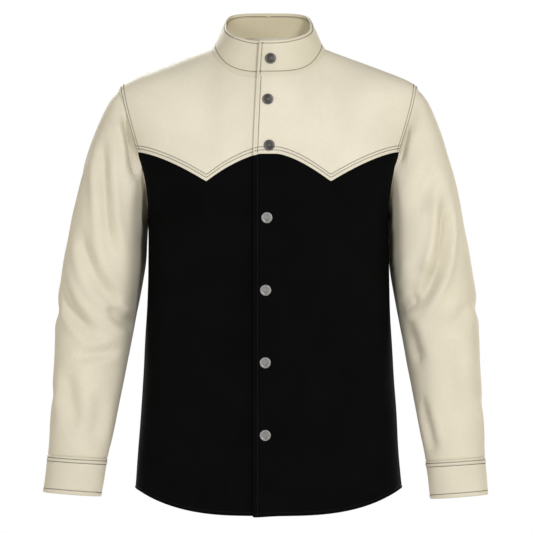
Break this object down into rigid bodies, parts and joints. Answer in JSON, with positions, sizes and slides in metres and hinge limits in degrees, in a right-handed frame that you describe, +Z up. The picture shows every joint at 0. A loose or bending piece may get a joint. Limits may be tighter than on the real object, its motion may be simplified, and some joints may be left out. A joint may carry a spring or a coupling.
{
  "type": "welding jacket",
  "caption": "Leather work jacket with pointed yokes, stand collar, snap front and long cuffed sleeves; the fronts fold open, the sleeves swing forward and the elbows bend.",
  "frame": {"origin": "middle of the neck opening, level with the side of the neck seam", "axes": "+Z up from the hem to the collar, the front faces -Y, the wearer's left sleeve is at +X"},
  "size_m": [0.69, 0.2627, 0.7755],
  "materials": {
    "cream_leather": "smooth grain, satin",
    "black_leather": "split leather, matte nap",
    "snap_metal": "antique gunmetal"
  },
  "bodies": {
    "torso": {"back_body": "black_leather", "back_yoke": "cream_leather", "hanger_loop": "cream_leather", "collar_back": "cream_leather", "collar_back_lining": "cream_leather", "left_front_side": "black_leather", "left_yoke_side": "cream_leather", "right_front_side": "black_leather", "right_yoke_side": "cream_leather"},
    "left_front": {"left_front_edge": "black_leather", "left_yoke_edge": "cream_leather", "left_facing": "black_leather", "left_collar_end": "cream_leather", "left_collar_end_lining": "cream_leather", "snap_caps": "snap_metal", "snap_sockets": "snap_metal"},
    "right_front": {"right_front_edge": "black_leather", "right_yoke_edge": "cream_leather", "right_facing": "black_leather", "right_collar_end": "cream_leather", "right_collar_end_lining": "cream_leather", "snap_studs": "snap_metal", "snap_eyelets": "snap_metal"},
    "left_sleeve": {"left_sleeve_head": "cream_leather", "left_upper_sleeve": "cream_leather"},
    "left_forearm": {"left_lower_sleeve": "cream_leather", "left_cuff": "cream_leather", "left_cuff_facing": "cream_leather"},
    "right_sleeve": {"right_sleeve_head": "cream_leather", "right_upper_sleeve": "cream_leather"},
    "right_forearm": {"right_lower_sleeve": "cream_leather", "right_cuff": "cream_leather", "right_cuff_facing": "cream_leather"}
  },
  "joints": [
    {"name": "left_front_open", "type": "hinge", "parent": "torso", "child": "left_front", "pos_m": [0.042, -0.094, 0], "axis": [-0.0526, 0.0499, 0.9974], "range_deg": [0, 70]},
    {"name": "right_front_open", "type": "hinge", "parent": "torso", "child": "right_front", "pos_m": [-0.042, -0.094, 0], "axis": [-0.0526, -0.0499, -0.9974], "range_deg": [0, 21]},
    {"name": "left_sleeve_swing", "type": "hinge", "parent": "torso", "child": "left_sleeve", "pos_m": [0.208, 0, -0.161], "axis": [-0.9781, 0, 0.2079], "range_deg": [0, 40]},
    {"name": "right_sleeve_swing", "type": "hinge", "parent": "torso", "child": "right_sleeve", "pos_m": [-0.208, 0, -0.161], "axis": [-0.9781, 0, -0.2079], "range_deg": [0, 40]},
    {"name": "left_elbow_bend", "type": "hinge", "parent": "left_sleeve", "child": "left_forearm", "pos_m": [0.267, -0.048, -0.4275], "axis": [-0.9776, 0, -0.2107], "range_deg": [0, 60]},
    {"name": "right_elbow_bend", "type": "hinge", "parent": "right_sleeve", "child": "right_forearm", "pos_m": [-0.267, -0.048, -0.4275], "axis": [-0.9776, 0, 0.2107], "range_deg": [0, 60]}
  ],
  "couplings": [
    {"joint": "right_front_open", "follows": "left_front_open", "ratio": 0.3}
  ]
}
